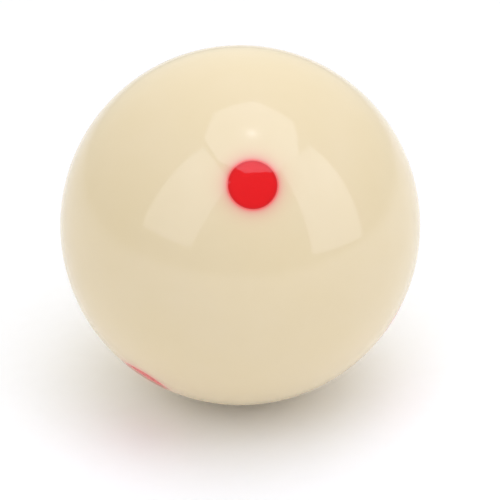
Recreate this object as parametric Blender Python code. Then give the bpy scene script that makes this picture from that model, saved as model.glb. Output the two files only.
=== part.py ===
"""A practice cue ball for pool: one solid cast-resin ball with six red dot inlays set flush.

Units are metres, +Z is up, and the origin is the ball's centre. The six dots point along
the six directions of a cross, a quarter turn apart, and the whole pattern is tilted the
way the ball happens to lie. Set the three lay angles to zero to square the dots up with
the axes.
"""

import math

import bmesh
import bpy
from mathutils import Vector

# The ball and its inlays.
BALL_DIAMETER = 0.0572
DOT_DIAMETER = 0.0072
PLUG_LENGTH = 0.0060  # from the ball's surface to the plug's inner end, along its axis
SEAT_GAP = 0.0003  # between a plug and its socket, at the side and at the inner end

# How the ball lies. The first dot faces forward, towards -Y, before these three turns.
FIRST_DOT_RISE = math.radians(40.6)  # the first dot tips up from the horizon
FIRST_DOT_TURN = math.radians(4.7)  # and swings to the right, about +Z
PATTERN_SPIN = math.radians(34.6)  # the other five turn about the first dot's own axis

# How finely the round shapes are cut into flat faces.
BALL_SEGMENTS = 80  # around the equator, a multiple of 4 so that points fall on the axes
BALL_RINGS = 40
PLUG_SEGMENTS = 36
CAP_RINGS = 4
CUTTER_OVERSHOOT = 0.002  # a socket cutter stands this far out of the ball

IVORY = (0.830, 0.695, 0.480)
RED = (0.735, 0.020, 0.024)
RESIN_ROUGHNESS = 0.08

BALL_RADIUS = BALL_DIAMETER / 2
DOT_RADIUS = DOT_DIAMETER / 2
FIRST_THREE_DOTS = [Vector((0, -1, 0)), Vector((0, 0, -1)), Vector((1, 0, 0))]
DOT_DIRECTIONS = FIRST_THREE_DOTS + [-direction for direction in FIRST_THREE_DOTS]


def clear_scene():
    for thing in list(bpy.data.objects):
        bpy.data.objects.remove(thing, do_unlink=True)


def resin(name, colour):
    """A polished, non-metallic cast resin of one colour."""
    material = bpy.data.materials.new(name)
    material.use_nodes = True
    shader = material.node_tree.nodes["Principled BSDF"]
    shader.inputs["Base Color"].default_value = (*colour, 1.0)
    shader.inputs["Roughness"].default_value = RESIN_ROUGHNESS
    shader.inputs["Metallic"].default_value = 0.0
    return material


def lay_of_the_ball():
    """The empty that carries everything and tilts the dot pattern."""
    lay = bpy.data.objects.new("ball_lay", None)
    bpy.context.scene.collection.objects.link(lay)
    lay.empty_display_size = BALL_DIAMETER
    lay.rotation_mode = "YXZ"
    lay.rotation_euler = (-FIRST_DOT_RISE, PATTERN_SPIN, FIRST_DOT_TURN)
    return lay


def add_object(name, mesh, parent=None, direction=None):
    """Link a mesh as an object, with its own +Z turned to point along the direction."""
    thing = bpy.data.objects.new(name, mesh)
    bpy.context.scene.collection.objects.link(thing)
    if parent:
        thing.parent = parent
        thing.rotation_mode = "QUATERNION"
        thing.rotation_quaternion = Vector((0, 0, 1)).rotation_difference(direction)
    return thing


def turned_mesh(name, profile):
    """A closed solid turned about +Z from a profile of (radius, height) points."""
    shape = bmesh.new()
    points = [shape.verts.new((radius, 0, height)) for radius, height in profile]
    edges = [shape.edges.new(pair) for pair in zip(points, points[1:])]
    bmesh.ops.spin(
        shape,
        geom=points + edges,
        cent=(0, 0, 0),
        axis=(0, 0, 1),
        angle=2 * math.pi,
        steps=PLUG_SEGMENTS,
        use_merge=True,
    )
    bmesh.ops.remove_doubles(shape, verts=shape.verts, dist=1e-7)
    bmesh.ops.recalc_face_normals(shape, faces=shape.faces)
    mesh = bpy.data.meshes.new(name)
    shape.to_mesh(mesh)
    shape.free()
    return mesh


def ball_mesh(material):
    """The bare ball, its poles on Z and four equator points on X and Y."""
    shape = bmesh.new()
    bmesh.ops.create_uvsphere(
        shape, u_segments=BALL_SEGMENTS, v_segments=BALL_RINGS, radius=BALL_RADIUS
    )
    mesh = bpy.data.meshes.new("ball_body")
    shape.to_mesh(mesh)
    shape.free()
    mesh.materials.append(material)
    mesh.shade_smooth()
    return mesh


def inlay_mesh(material):
    """A round plug with a flat inner end and an outer end that follows the ball."""
    inner_end = BALL_RADIUS - PLUG_LENGTH
    edge_angle = math.asin(DOT_RADIUS / BALL_RADIUS)
    profile = [(0, inner_end), (DOT_RADIUS, inner_end)]
    for ring in range(CAP_RINGS + 1):
        angle = edge_angle * (1 - ring / CAP_RINGS)
        profile.append((BALL_RADIUS * math.sin(angle), BALL_RADIUS * math.cos(angle)))
    mesh = turned_mesh("dot_inlay", profile)
    mesh.materials.append(material)
    mesh.shade_smooth()
    mesh.set_sharp_from_angle(angle=math.radians(40))
    return mesh


def socket_cutter_mesh():
    """The blind hole that a plug sits in, with the seat gap around and beneath it."""
    radius = DOT_RADIUS + SEAT_GAP
    bottom = BALL_RADIUS - PLUG_LENGTH - SEAT_GAP
    top = BALL_RADIUS + CUTTER_OVERSHOOT
    return turned_mesh("socket_cutter", [(0, bottom), (radius, bottom), (radius, top), (0, top)])


def cut_socket(ball, cutter):
    cutter.hide_render = True
    cutter.display_type = "WIRE"
    cut = ball.modifiers.new(cutter.name, "BOOLEAN")
    cut.operation = "DIFFERENCE"
    cut.solver = "EXACT"
    cut.object = cutter


def build_ball():
    lay = lay_of_the_ball()
    ball = add_object("ball_body", ball_mesh(resin("ivory_resin", IVORY)))
    plug = inlay_mesh(resin("red_resin", RED))
    socket = socket_cutter_mesh()
    for number, direction in enumerate(DOT_DIRECTIONS, start=1):
        add_object(f"dot_inlay_{number}", plug, lay, direction)
        cut_socket(ball, add_object(f"socket_cutter_{number}", socket, lay, direction))


clear_scene()
build_ball()
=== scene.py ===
"""The look of a practice cue ball for pool: ivory cast resin with six red resin dots.

Units are metres. The ball's centre is the origin and it stands on its lowest point. The six
dots point along the six directions of a cross, which is tilted the way the ball lies.
"""

import math

import bpy
from mathutils import Euler, Matrix, Vector


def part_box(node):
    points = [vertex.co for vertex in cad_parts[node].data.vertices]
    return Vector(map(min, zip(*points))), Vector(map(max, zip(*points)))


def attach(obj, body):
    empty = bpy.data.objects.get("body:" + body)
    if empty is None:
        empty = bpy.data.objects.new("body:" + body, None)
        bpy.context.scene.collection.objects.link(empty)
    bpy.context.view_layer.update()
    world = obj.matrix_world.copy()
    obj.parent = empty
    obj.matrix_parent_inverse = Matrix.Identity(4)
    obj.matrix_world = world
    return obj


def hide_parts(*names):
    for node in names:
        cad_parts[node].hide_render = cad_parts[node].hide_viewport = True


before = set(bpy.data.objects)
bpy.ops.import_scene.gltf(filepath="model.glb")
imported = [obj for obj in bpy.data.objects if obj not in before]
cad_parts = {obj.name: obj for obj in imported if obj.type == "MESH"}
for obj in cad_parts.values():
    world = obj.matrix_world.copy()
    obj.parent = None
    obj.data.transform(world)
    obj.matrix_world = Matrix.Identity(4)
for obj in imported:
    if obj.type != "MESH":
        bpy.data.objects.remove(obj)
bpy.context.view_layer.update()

MM = 0.001

# The ball, from the frame.
BALL_LOW, BALL_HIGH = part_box("ball_body")
BALL_RADIUS = (BALL_HIGH.z - BALL_LOW.z) / 2
TABLE_HEIGHT = BALL_LOW.z

# The inlays. Each is a plug set in a socket, then turned and polished flush with the ball.
INLAYS = [f"dot_inlay_{number}" for number in range(1, 7)]
DOT_RADIUS = 3.6 * MM
PLUG_LENGTH = 6 * MM
BOND_LINE = 0.004 * MM

# The resins. Each drifts between two near shades, in clouds of a given size.
CREAM = "#E8D6B2", "#E5D2A8"
CREAM_CLOUD = 11 * MM
RED = "#E71219", "#E20F16"
RED_CLOUD = 2 * MM
RESIN_IOR = 1.45
# Shades blended in near the bond, each with how far it reaches. The wide pink blush round each
# dot is painted light: the red glow of light that passes from the plug into the translucent cream.
# The three narrow shades are probably not real. Without them the edge is crisp, and the dot still
# looks its true size.
CREAM_EDGE_AND_PAINTED_GLOW = {0.76 * MM: "#E88A85", 0.13 * MM: "#FA5049"}
RED_EDGE = {0.25 * MM: "#BC1219", 0.05 * MM: "#FF8E86"}

# The polish. The haze of fine scratches varies in patches. The scratches themselves are far
# too fine to show, so they are only a roughness. The buffing swell is a real height.
HAZE_PATCH = 4 * MM
CREAM_HAZE = 0.035, 0.065
RED_HAZE = 0.02, 0.05
SWELL_WIDTH = 2.5 * MM
SWELL_HEIGHT = 0.002 * MM

# How finely the round shapes are cut.
SPOKES = 96  # around a dot, a multiple of 8 so that a spoke meets each corner of its sixth
BALL_ROWS = 44  # from a sixth's edge in to its dot
CAP_ROWS = 10
WALL_ROWS = 3
MERGE = 0.0005 * MM
SHARP_EDGE = math.radians(40)

# The camera, close above the table.
CAMERA_DISTANCE = 250 * MM
CAMERA_RISE = math.radians(29)
CAMERA_LENS = 112.8  # mm, on a 36 mm wide sensor
AIM_RIGHT = 1.53 * MM
AIM_BELOW = 3.93 * MM

# The room's brightness, where 1 is white paper: an even glow, and more from each of these sides.
ROOM_GLOW = 0.30
ROOM_SIDES = {
    (0, 1, 0): 0.40,
    (0, 0.7, 0.7): 0.54,
    (0, 0, 1): 0.10,
    (-0.7, 0, 0.7): 0.10,
}
ROOM_TINT = "#FFFEF6"
CLOTH_TINT = "#EFF2FF"

# The table.
BOARD = "#FFFFFF", "#FCFCFB"
BOARD_GRAIN = 3 * MM
BOARD_ROUGHNESS = 0.9
BOARD_GLOSS = 0.2
TABLE_REACH = 3.0


def linear(hex_colour):
    """A shader's colour from an sRGB hex value."""
    channels = [int(hex_colour[place : place + 2], 16) / 255 for place in (1, 3, 5)]
    return (
        *[c / 12.92 if c <= 0.04045 else ((c + 0.055) / 1.055) ** 2.4 for c in channels],
        1.0,
    )


def add(tree, kind, inputs=None, **settings):
    """Add a node, set its settings, and link or fill its inputs."""
    node = tree.nodes.new(kind)
    for name, value in settings.items():
        setattr(node, name, value)
    for name, value in (inputs or {}).items():
        for one in value if isinstance(value, list) else [value]:
            if isinstance(one, bpy.types.Node):
                one = one.outputs[0]
            if isinstance(one, bpy.types.NodeSocket):
                tree.links.new(one, node.inputs[name])
            else:
                node.inputs[name].default_value = one
    return node


def dot_direction(inlay):
    """The way from the ball's centre out through this inlay."""
    low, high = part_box(inlay)
    return ((low + high) / 2).normalized()


def lay_of_the_dots():
    """The turn from a squared-up cross of dots to the way the ball lies."""
    front, down, right = [dot_direction(inlay) for inlay in INLAYS[:3]]
    return Matrix((right, -front, -down)).transposed().to_quaternion()


LAY = lay_of_the_dots()


# ---------------------------------------------------------------- shapes


def new_tree(name, inputs):
    """An empty Geometry Nodes tree, and what its user gives it."""
    tree = bpy.data.node_groups.new(name, "GeometryNodeTree")
    tree.is_modifier = True
    tree.interface.new_socket("Geometry", in_out="OUTPUT", socket_type="NodeSocketGeometry")
    for label, kind in inputs.items():
        tree.interface.new_socket(label, in_out="INPUT", socket_type="NodeSocket" + kind)
    return tree, add(tree, "NodeGroupInput").outputs


def along_band(tree, start, end):
    """A field that runs from start to end across a band's rows."""
    place = add(tree, "ShaderNodeSeparateXYZ", {0: add(tree, "GeometryNodeInputPosition")})
    rows = {0: place.outputs["Y"], 1: -0.5, 2: 0.5, 3: start, 4: end}
    return add(tree, "ShaderNodeMapRange", rows)


def on_ball(tree, angle, ball):
    """The radius, and the height over the dot's centre, at an angle from the dot's axis."""
    sine = add(tree, "ShaderNodeMath", {0: angle}, operation="SINE")
    radius = add(tree, "ShaderNodeMath", {0: sine, 1: ball}, operation="MULTIPLY")
    cosine = add(tree, "ShaderNodeMath", {0: angle}, operation="COSINE")
    drop = add(tree, "ShaderNodeMath", {0: cosine, 1: 1.0}, operation="SUBTRACT")
    height = add(tree, "ShaderNodeMath", {0: drop, 1: ball}, operation="MULTIPLY")
    return radius, height


def rim_angle(tree, hole, ball):
    """The angle from the dot's axis at which a round hole meets the ball's surface."""
    share = add(tree, "ShaderNodeMath", {0: hole, 1: ball}, operation="DIVIDE")
    return add(tree, "ShaderNodeMath", {0: share}, operation="ARCSINE")


def sixth_edge_angle(tree):
    """The angle from the dot's axis to the edge of its sixth of the ball, on each spoke."""
    place = add(tree, "ShaderNodeSeparateXYZ", {0: add(tree, "GeometryNodeInputPosition")})
    reaches = []
    for way in ("COSINE", "SINE"):
        reach = add(tree, "ShaderNodeMath", {0: place.outputs["X"]}, operation=way)
        reaches.append(add(tree, "ShaderNodeMath", {0: reach}, operation="ABSOLUTE"))
    reach = add(tree, "ShaderNodeMath", dict(enumerate(reaches)), operation="MAXIMUM")
    slope = add(tree, "ShaderNodeMath", {0: 1.0, 1: reach}, operation="DIVIDE")
    return add(tree, "ShaderNodeMath", {0: slope}, operation="ARCTANGENT")


def round_band(tree, rows, spokes, radius, height):
    """A sheet of rows by spokes, wrapped once round the dot's axis to those two fields."""
    columns = add(tree, "ShaderNodeMath", {0: spokes, 1: 1.0}, operation="ADD")
    size = {"Size X": 2 * math.pi, "Size Y": 1.0, "Vertices X": columns, "Vertices Y": rows + 1}
    sheet = add(tree, "GeometryNodeMeshGrid", size)
    place = add(tree, "ShaderNodeSeparateXYZ", {0: add(tree, "GeometryNodeInputPosition")})
    point = add(tree, "ShaderNodeCombineXYZ", {"X": radius, "Z": height})
    spoke = {"Vector": point, "Angle": place.outputs["X"]}
    wrapped = add(tree, "ShaderNodeVectorRotate", spoke, rotation_type="Z_AXIS")
    return add(tree, "GeometryNodeSetPosition", {"Geometry": sheet, "Position": wrapped})


def placed(tree, points, shape):
    """The shape on each point, its own +Z turned to face out from the ball's centre."""
    place = add(tree, "GeometryNodeInputPosition")
    outward = add(tree, "FunctionNodeAlignRotationToVector", {"Vector": place}, axis="Z")
    where = {"Points": points, "Instance": shape, "Rotation": outward}
    return add(tree, "GeometryNodeInstanceOnPoints", where)


def finished(tree, shape, material):
    """Realize, close the seams, smooth, and give the material."""
    solid = add(tree, "GeometryNodeRealizeInstances", {0: shape})
    solid = add(tree, "GeometryNodeMergeByDistance", {"Geometry": solid, "Distance": MERGE})
    solid = add(tree, "GeometryNodeSetShadeSmooth", {"Geometry": solid})
    solid = add(tree, "GeometryNodeSetMaterial", {"Geometry": solid, "Material": material})
    add(tree, "NodeGroupOutput", {0: solid})


def ball_tree():
    """The ball: six alike sixths of its skin, each with a round blind socket at its middle."""
    inputs = {
        "Ball radius": "Float",
        "Socket radius": "Float",
        "Socket depth": "Float",
        "Spokes": "Int",
        "Lay": "Vector",
        "Material": "Material",
    }
    tree, given = new_tree("Socketed ball", inputs)
    ball, socket, spokes = given["Ball radius"], given["Socket radius"], given["Spokes"]
    rim = rim_angle(tree, socket, ball)
    bottom = add(tree, "ShaderNodeMath", {0: given["Socket depth"], 1: -1.0}, operation="MULTIPLY")
    skin = on_ball(tree, along_band(tree, sixth_edge_angle(tree), rim), ball)
    wall = socket, along_band(tree, on_ball(tree, rim, ball)[1], bottom)
    floor = along_band(tree, socket, 0.0), bottom
    bands = [
        round_band(tree, BALL_ROWS, spokes, *skin),
        round_band(tree, WALL_ROWS, spokes, *wall),
        round_band(tree, WALL_ROWS, spokes, *floor),
    ]
    sixth = add(tree, "GeometryNodeJoinGeometry", {0: bands})
    width = add(tree, "ShaderNodeMath", {0: ball, 1: 2.0}, operation="MULTIPLY")
    cube = add(tree, "GeometryNodeMeshCube", {"Size": width})
    faces = add(tree, "GeometryNodeMeshToPoints", {"Mesh": cube}, mode="FACES")
    whole = placed(tree, faces, sixth)
    lying = add(tree, "GeometryNodeTransform", {"Geometry": whole, "Rotation": given["Lay"]})
    finished(tree, lying, given["Material"])
    return tree


def plug_tree():
    """One inlay: a round plug with a flat inner end and an outer end that follows the ball."""
    inputs = {
        "Ball radius": "Float",
        "Dot radius": "Float",
        "Plug length": "Float",
        "Spokes": "Int",
        "Dot direction": "Vector",
        "Material": "Material",
    }
    tree, given = new_tree("Flush plug", inputs)
    ball, dot, spokes = given["Ball radius"], given["Dot radius"], given["Spokes"]
    rim = rim_angle(tree, dot, ball)
    bottom = add(tree, "ShaderNodeMath", {0: given["Plug length"], 1: -1.0}, operation="MULTIPLY")
    inner_end = along_band(tree, 0.0, dot), bottom
    wall = dot, along_band(tree, bottom, on_ball(tree, rim, ball)[1])
    cap = on_ball(tree, along_band(tree, rim, 0.0), ball)
    bands = [
        round_band(tree, WALL_ROWS, spokes, *inner_end),
        round_band(tree, WALL_ROWS, spokes, *wall),
        round_band(tree, CAP_ROWS, spokes, *cap),
    ]
    plug = add(tree, "GeometryNodeJoinGeometry", {0: bands})
    outward = {0: given["Dot direction"], "Scale": ball}
    dot_centre = add(tree, "ShaderNodeVectorMath", outward, operation="SCALE")
    point = add(tree, "GeometryNodePoints", {"Count": 1, "Position": dot_centre})
    finished(tree, placed(tree, point, plug), given["Material"])
    return tree


def make_piece(name, tree, sizes, node):
    """Run a tree with these sizes, and keep its result as a plain mesh in the node's place."""
    blank = bpy.data.objects.new(name + "_blank", bpy.data.meshes.new(name + "_blank"))
    bpy.context.scene.collection.objects.link(blank)
    maker = blank.modifiers.new(tree.name, "NODES")
    maker.node_group = tree
    for socket in tree.interface.items_tree:
        if socket.in_out == "INPUT":
            maker[socket.identifier] = sizes[socket.name]
    bpy.context.view_layer.update()
    made = blank.evaluated_get(bpy.context.evaluated_depsgraph_get())
    mesh = bpy.data.meshes.new_from_object(made)
    bpy.data.objects.remove(blank)
    mesh.name = name
    mesh.set_sharp_from_angle(angle=SHARP_EDGE)
    piece = bpy.data.objects.new(name, mesh)
    bpy.context.scene.collection.objects.link(piece)
    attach(piece, "root")
    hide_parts(node)


def make_ball(material):
    """The ball itself, with six blind sockets."""
    sizes = {
        "Ball radius": BALL_RADIUS,
        "Socket radius": DOT_RADIUS + BOND_LINE,
        "Socket depth": PLUG_LENGTH + BOND_LINE,
        "Spokes": SPOKES,
        "Lay": LAY.to_euler(),
        "Material": material,
    }
    make_piece("cue_ball", ball_tree(), sizes, "ball_body")


def make_inlays(material):
    """A plug for each socket."""
    tree = plug_tree()
    for number, inlay in enumerate(INLAYS, start=1):
        sizes = {
            "Ball radius": BALL_RADIUS,
            "Dot radius": DOT_RADIUS,
            "Plug length": PLUG_LENGTH,
            "Spokes": SPOKES,
            "Dot direction": dot_direction(inlay),
            "Material": material,
        }
        make_piece(f"red_dot_{number}", tree, sizes, inlay)


# ------------------------------------------------------------- materials


def new_material(name):
    """A material, its tree and its main shader."""
    material = bpy.data.materials.new(name)
    material.use_nodes = True
    tree = material.node_tree
    return material, tree, tree.nodes["Principled BSDF"]


def from_the_dots(tree):
    """Metres along the ball's skin from the nearest dot's centre."""
    where = add(tree, "ShaderNodeTexCoord").outputs["Object"]
    squared_up = LAY.inverted().to_euler()
    turned = add(tree, "ShaderNodeMapping", {"Vector": where, "Rotation": squared_up})
    outward = add(tree, "ShaderNodeVectorMath", {0: turned}, operation="NORMALIZE")
    outward = add(tree, "ShaderNodeVectorMath", {0: outward}, operation="ABSOLUTE")
    part = add(tree, "ShaderNodeSeparateXYZ", {0: outward}).outputs
    most = add(tree, "ShaderNodeMath", {0: part["X"], 1: part["Y"]}, operation="MAXIMUM")
    most = add(tree, "ShaderNodeMath", {0: most, 1: part["Z"]}, operation="MAXIMUM")
    most = add(tree, "ShaderNodeMath", {0: most, 1: 1.0}, operation="MINIMUM")
    angle = add(tree, "ShaderNodeMath", {0: most}, operation="ARCCOSINE")
    return add(tree, "ShaderNodeMath", {0: angle, 1: BALL_RADIUS}, operation="MULTIPLY")


def drifting_shade(tree, where, shades, size, detail):
    """Two shades mixed in clouds of this size. A Mix node's colours are its sockets 6 and 7."""
    cloud = {"Vector": where, "Scale": 1 / size, "Detail": detail}
    cloud = add(tree, "ShaderNodeTexNoise", cloud)
    first, second = [linear(shade) for shade in shades]
    mix = add(tree, "ShaderNodeMix", {0: cloud, 6: first, 7: second}, data_type="RGBA")
    return mix.outputs[2]


def shaded_at_the_bond(tree, colour, edge, side):
    """Blend in each of the edge's shades, which fade away from the bond on this side of it.

    The side is -1 outside the dots, in the cream, and 1 inside them, in the red.
    """
    past = {0: from_the_dots(tree), 1: DOT_RADIUS}
    past = add(tree, "ShaderNodeMath", past, operation="SUBTRACT")
    for reach, shade in edge.items():
        fade = add(tree, "ShaderNodeMath", {0: past, 1: side / reach}, operation="MULTIPLY")
        near = add(tree, "ShaderNodeMath", {0: fade}, operation="EXPONENT", use_clamp=True)
        mix = {0: near, 6: colour, 7: linear(shade)}
        colour = add(tree, "ShaderNodeMix", mix, data_type="RGBA").outputs[2]
    return colour


def polish(tree, shader, where, haze):
    """A hand-buffed gloss: faintly uneven haze, over the swell that turning and buffing leave."""
    patch = {"Vector": where, "Scale": 1 / HAZE_PATCH, "Detail": 5.0}
    patch = add(tree, "ShaderNodeTexNoise", patch)
    rough = {0: patch, 1: 0.3, 2: 0.7, 3: haze[0], 4: haze[1]}
    rough = add(tree, "ShaderNodeMapRange", rough)
    tree.links.new(rough.outputs[0], shader.inputs["Roughness"])
    swell = {"Vector": where, "Scale": 1 / SWELL_WIDTH, "Detail": 2.0}
    swell = add(tree, "ShaderNodeTexNoise", swell)
    marks = {"Height": swell, "Strength": 1.0, "Distance": SWELL_HEIGHT}
    bump = add(tree, "ShaderNodeBump", marks)
    tree.links.new(bump.outputs[0], shader.inputs["Normal"])
    shader.inputs["IOR"].default_value = RESIN_IOR


def ivory_resin():
    """Cast resin, turned and polished: to the eye, a warm milky cream under a clear deep gloss.

    It is a little cloudy, as cast resin is, and a painted pink glow round each dot stands in for
    red light passing from the plug into the translucent cream.
    """
    material, tree, shader = new_material("Cast ivory resin, polished")
    where = add(tree, "ShaderNodeTexCoord").outputs["Object"]
    cream = drifting_shade(tree, where, CREAM, CREAM_CLOUD, 3.0)
    # The wide pink blush among these shades is painted light: the glow of red light passing from
    # each plug into the translucent cream.
    colour = shaded_at_the_bond(tree, cream, CREAM_EDGE_AND_PAINTED_GLOW, -1)
    tree.links.new(colour, shader.inputs["Base Color"])
    polish(tree, shader, where, CREAM_HAZE)
    return material


def red_resin():
    """Cast resin, polished in one sweep with the ball: to the eye, a pure red with the same gloss.

    It is drawn a little deeper towards its edge, with a hair-thin pale line at the bond.
    """
    material, tree, shader = new_material("Cast red resin, polished")
    where = add(tree, "ShaderNodeTexCoord").outputs["Object"]
    red = drifting_shade(tree, where, RED, RED_CLOUD, 3.0)
    colour = shaded_at_the_bond(tree, red, RED_EDGE, 1)
    tree.links.new(colour, shader.inputs["Base Color"])
    polish(tree, shader, where, RED_HAZE)
    return material


# ---------------------------------------------------------------- studio


def make_table():
    """A wide sheet of pale card under the ball: to the eye, plain white with no shine."""
    mesh = bpy.data.meshes.new("table")
    signs = [(-1, -1), (1, -1), (1, 1), (-1, 1)]
    corners = [(x * TABLE_REACH, y * TABLE_REACH, TABLE_HEIGHT) for x, y in signs]
    mesh.from_pydata(corners, [], [(0, 1, 2, 3)])
    table = bpy.data.objects.new("table", mesh)
    bpy.context.scene.collection.objects.link(table)
    material, tree, shader = new_material("White card, matt")
    where = add(tree, "ShaderNodeTexCoord").outputs["Object"]
    board = drifting_shade(tree, where, BOARD, BOARD_GRAIN, 4.0)
    tree.links.new(board, shader.inputs["Base Color"])
    shader.inputs["Roughness"].default_value = BOARD_ROUGHNESS
    shader.inputs["Specular IOR Level"].default_value = BOARD_GLOSS
    mesh.materials.append(material)


def make_softbox(name, corners, glow, lamp):
    """A panel of light: even cloth, brighter round the spot where the lamp stands behind it.

    The glow is the cloth's own brightness. The lamp is where it stands, how far its light
    spreads on the cloth, and how much it adds there. A brightness of 1 is white paper.
    """
    lamp_place, spread, peak = lamp
    mesh = bpy.data.meshes.new(name)
    mesh.from_pydata(corners, [], [tuple(range(len(corners)))])
    panel = bpy.data.objects.new(name, mesh)
    bpy.context.scene.collection.objects.link(panel)
    material = bpy.data.materials.new(name + " cloth")
    material.use_nodes = True
    tree = material.node_tree
    tree.nodes.clear()
    where = add(tree, "ShaderNodeTexCoord").outputs["Object"]
    away = add(tree, "ShaderNodeVectorMath", {0: where, 1: lamp_place}, operation="DISTANCE")
    share = {0: away.outputs["Value"], 1: -spread}
    fade = add(tree, "ShaderNodeMath", share, operation="DIVIDE")
    bright = add(tree, "ShaderNodeMath", {0: fade}, operation="EXPONENT")
    total = {0: bright, 1: peak, 2: glow}
    strength = add(tree, "ShaderNodeMath", total, operation="MULTIPLY_ADD")
    light = add(tree, "ShaderNodeEmission", {"Color": linear(CLOTH_TINT), "Strength": strength})
    add(tree, "ShaderNodeOutputMaterial", {0: light})
    mesh.materials.append(material)
    panel.visible_camera = False


def octagon(centre, across_flats, turn):
    """The corners of an eight-sided panel."""
    reach = across_flats / 2 / math.cos(math.pi / 8)
    spokes = [(side + 0.5) * math.pi / 4 for side in range(8)]
    flat = [Vector((math.cos(spoke), math.sin(spoke), 0)) * reach for spoke in spokes]
    return [centre + turn.to_matrix() @ corner for corner in flat]


def rectangle(corner, along, up):
    """The four corners of a panel, from one bottom corner and its two edges."""
    return [corner, corner + along, corner + along + up, corner + up]


def make_lights():
    """An octabox over the ball, and a softbox on each side in front of it.

    Each place is in metres from the ball's centre, and set so that the ball mirrors the light
    where it should. A lamp behind a softbox is some way along and some way up its cloth.
    """
    over = Vector((0.082, -0.12, 0.90))
    tilt = Euler((math.radians(-5), math.radians(17), math.radians(18)))
    lamp = Vector((0.10, -0.05, 0.90)), 0.026, 9.0
    make_softbox("octabox", octagon(over, 0.82, tilt), 2.5, lamp)

    corner = Vector((-0.717, -0.342, 0.191))
    along, up = Vector((0.223, -0.497, 0.018)), Vector((0.383, 0.186, 0.718))
    lamp = corner + 0.3 * along + 0.7 * up, 0.25, 1.1
    make_softbox("left_softbox", rectangle(corner, along, up), 1.64, lamp)

    corner = Vector((0.556, -0.113, 0.006))
    along, up = Vector((-0.159, -0.309, 0.041)), Vector((-0.089, 0.111, 0.604))
    lamp = corner + 0.2 * along + 0.6 * up, 0.2, 1.0
    make_softbox("right_softbox", rectangle(corner, along, up), 1.66, lamp)


def make_room():
    """The studio round the table: a bright sweep behind and above, a dimmer room in front.

    Each side's light falls off as the square of how squarely a direction faces it. Past the
    table the camera sees plain white.
    """
    world = bpy.data.worlds.new("studio")
    world.use_nodes = True
    bpy.context.scene.world = world
    tree = world.node_tree
    tree.nodes.clear()
    way = add(tree, "ShaderNodeTexCoord").outputs["Generated"]
    total = ROOM_GLOW
    for side, glow in ROOM_SIDES.items():
        toward = add(tree, "ShaderNodeVectorMath", {0: way, 1: side}, operation="DOT_PRODUCT")
        facing = {0: toward.outputs["Value"], 1: 0.0}
        facing = add(tree, "ShaderNodeMath", facing, operation="MAXIMUM")
        spread = add(tree, "ShaderNodeMath", {0: facing, 1: 2.0}, operation="POWER")
        share = add(tree, "ShaderNodeMath", {0: spread, 1: glow}, operation="MULTIPLY")
        total = add(tree, "ShaderNodeMath", {0: total, 1: share}, operation="ADD")
    room = add(tree, "ShaderNodeBackground", {"Color": linear(ROOM_TINT), "Strength": total})
    sweep = add(tree, "ShaderNodeBackground", {"Color": (1.0, 1.0, 1.0, 1.0), "Strength": 1.0})
    seen = add(tree, "ShaderNodeLightPath").outputs["Is Camera Ray"]
    both = add(tree, "ShaderNodeMixShader", {0: seen, 1: room, 2: sweep})
    add(tree, "ShaderNodeOutputWorld", {0: both})


def make_camera():
    """A camera in front of the ball and above it, aimed a little under its centre."""
    camera = bpy.data.objects.new("camera", bpy.data.cameras.new("camera"))
    bpy.context.scene.collection.objects.link(camera)
    camera.data.lens = CAMERA_LENS
    camera.data.clip_start = 0.01
    toward = Vector((0, -math.cos(CAMERA_RISE), math.sin(CAMERA_RISE)))
    upward = Vector((0, math.sin(CAMERA_RISE), math.cos(CAMERA_RISE)))
    camera.location = toward * CAMERA_DISTANCE
    aim = Vector((AIM_RIGHT, 0, 0)) - upward * AIM_BELOW
    camera.rotation_euler = (aim - camera.location).to_track_quat("-Z", "Y").to_euler()
    bpy.context.scene.camera = camera


make_ball(ivory_resin())
make_inlays(red_resin())
make_table()
make_lights()
make_room()
make_camera()
bpy.context.scene.view_settings.view_transform = "Standard"
